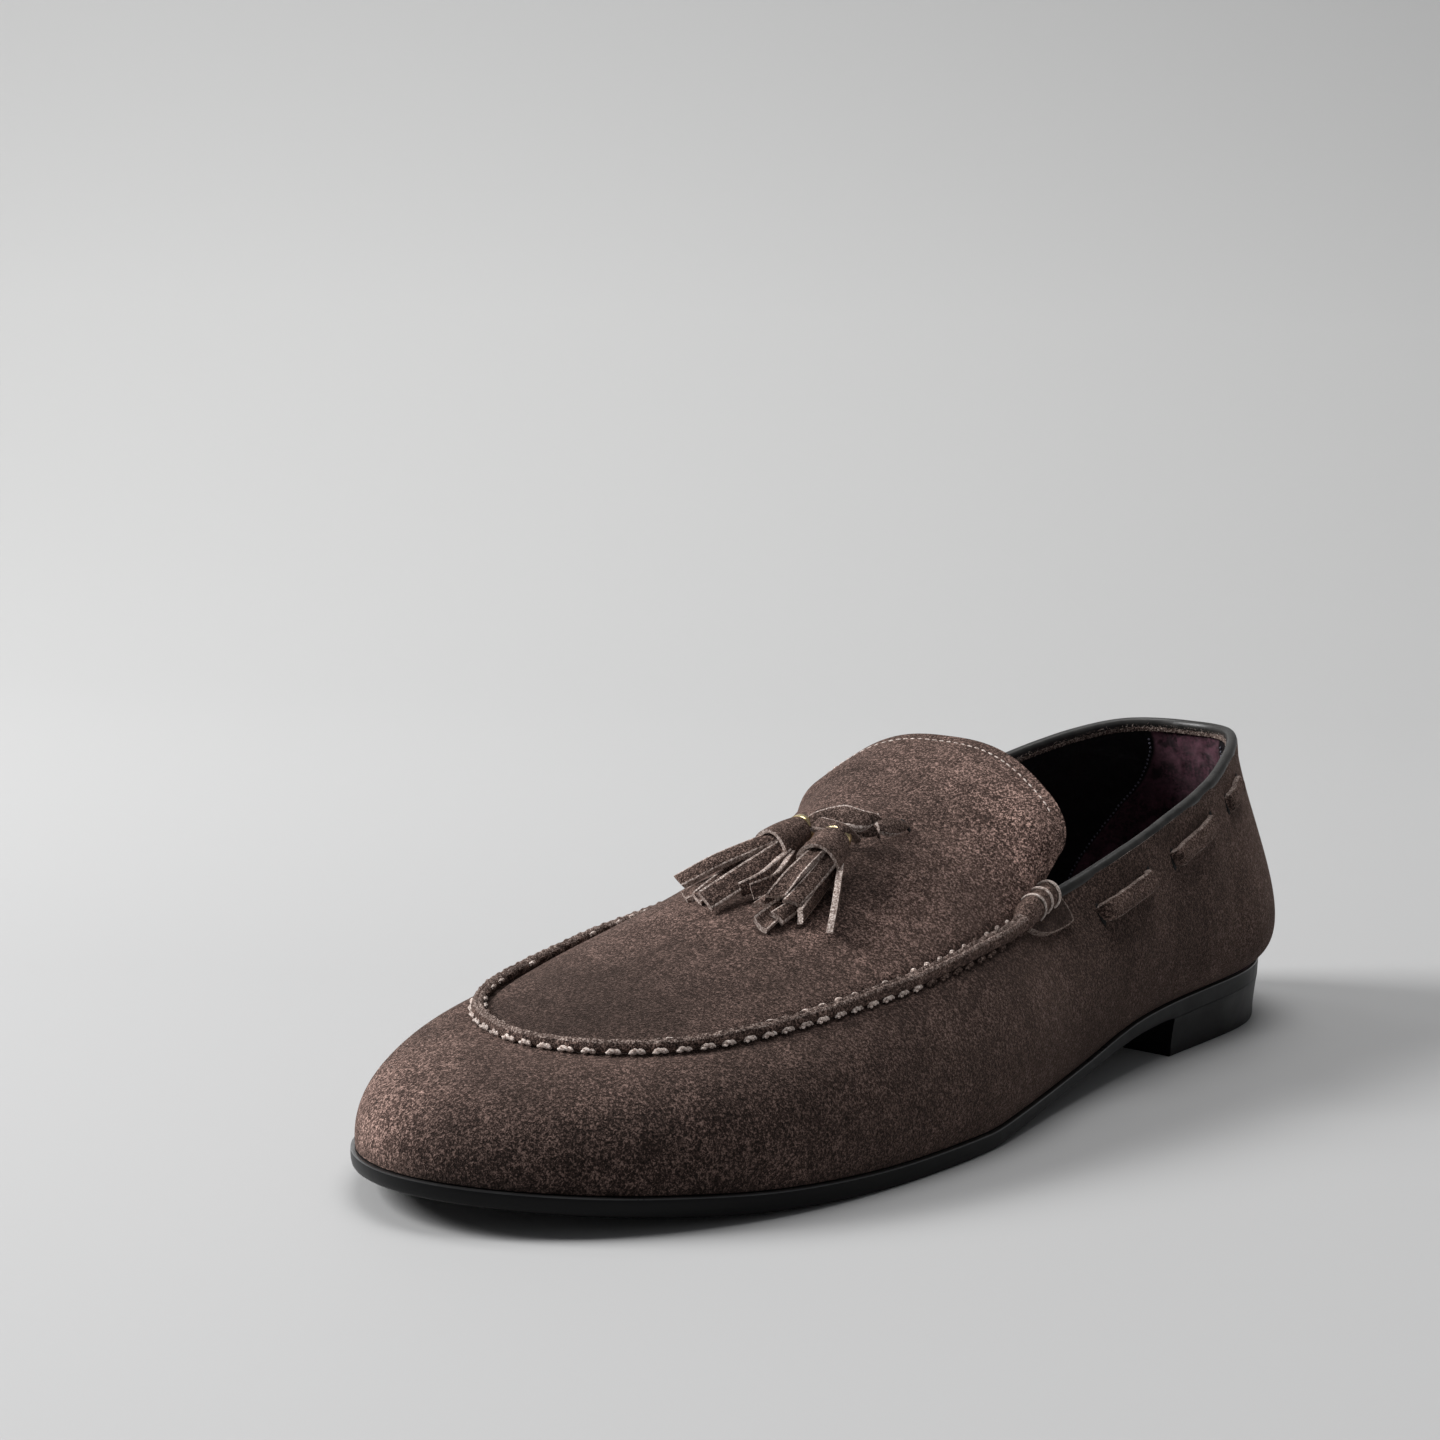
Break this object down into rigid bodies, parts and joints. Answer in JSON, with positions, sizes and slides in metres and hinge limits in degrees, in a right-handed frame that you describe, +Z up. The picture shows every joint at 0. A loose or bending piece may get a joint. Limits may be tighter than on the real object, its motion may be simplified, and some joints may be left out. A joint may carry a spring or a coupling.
{
  "type": "tassel loafer",
  "caption": "Dark brown suede slip-on loafer with a raised toe seam, twin tassels, soft black collar edge and a thin black sole with a low heel.",
  "frame": {"origin": "middle of the shoe's length and width, at the floor that it stands on", "axes": "+Y from the toe to the heel, +X to the outer side of the foot, +Z up"},
  "size_m": [0.1026, 0.3016, 0.0778],
  "materials": {
    "suede": "matt napped suede, dark brown",
    "edge_leather": "smooth, soft sheen",
    "sole": "polished edge, satin",
    "sock": "matt lining leather",
    "metal": "polished"
  },
  "bodies": {
    "root": {"outsole": "sole", "heel": "sole", "insole": "sock", "upper": "suede", "topline_binding": "edge_leather", "lace_bar_outer_front": "suede", "lace_bar_outer_middle": "suede", "lace_bar_outer_back": "suede", "lace_bar_inner_front": "suede", "lace_bar_inner_middle": "suede", "lace_bar_inner_back": "suede", "seam_patch_outer": "suede", "seam_patch_inner": "suede", "tassel_knot": "suede", "tassel_outer": "suede", "tassel_inner": "suede", "tassel_ring_outer": "metal", "tassel_ring_inner": "metal"}
  },
  "joints": []
}
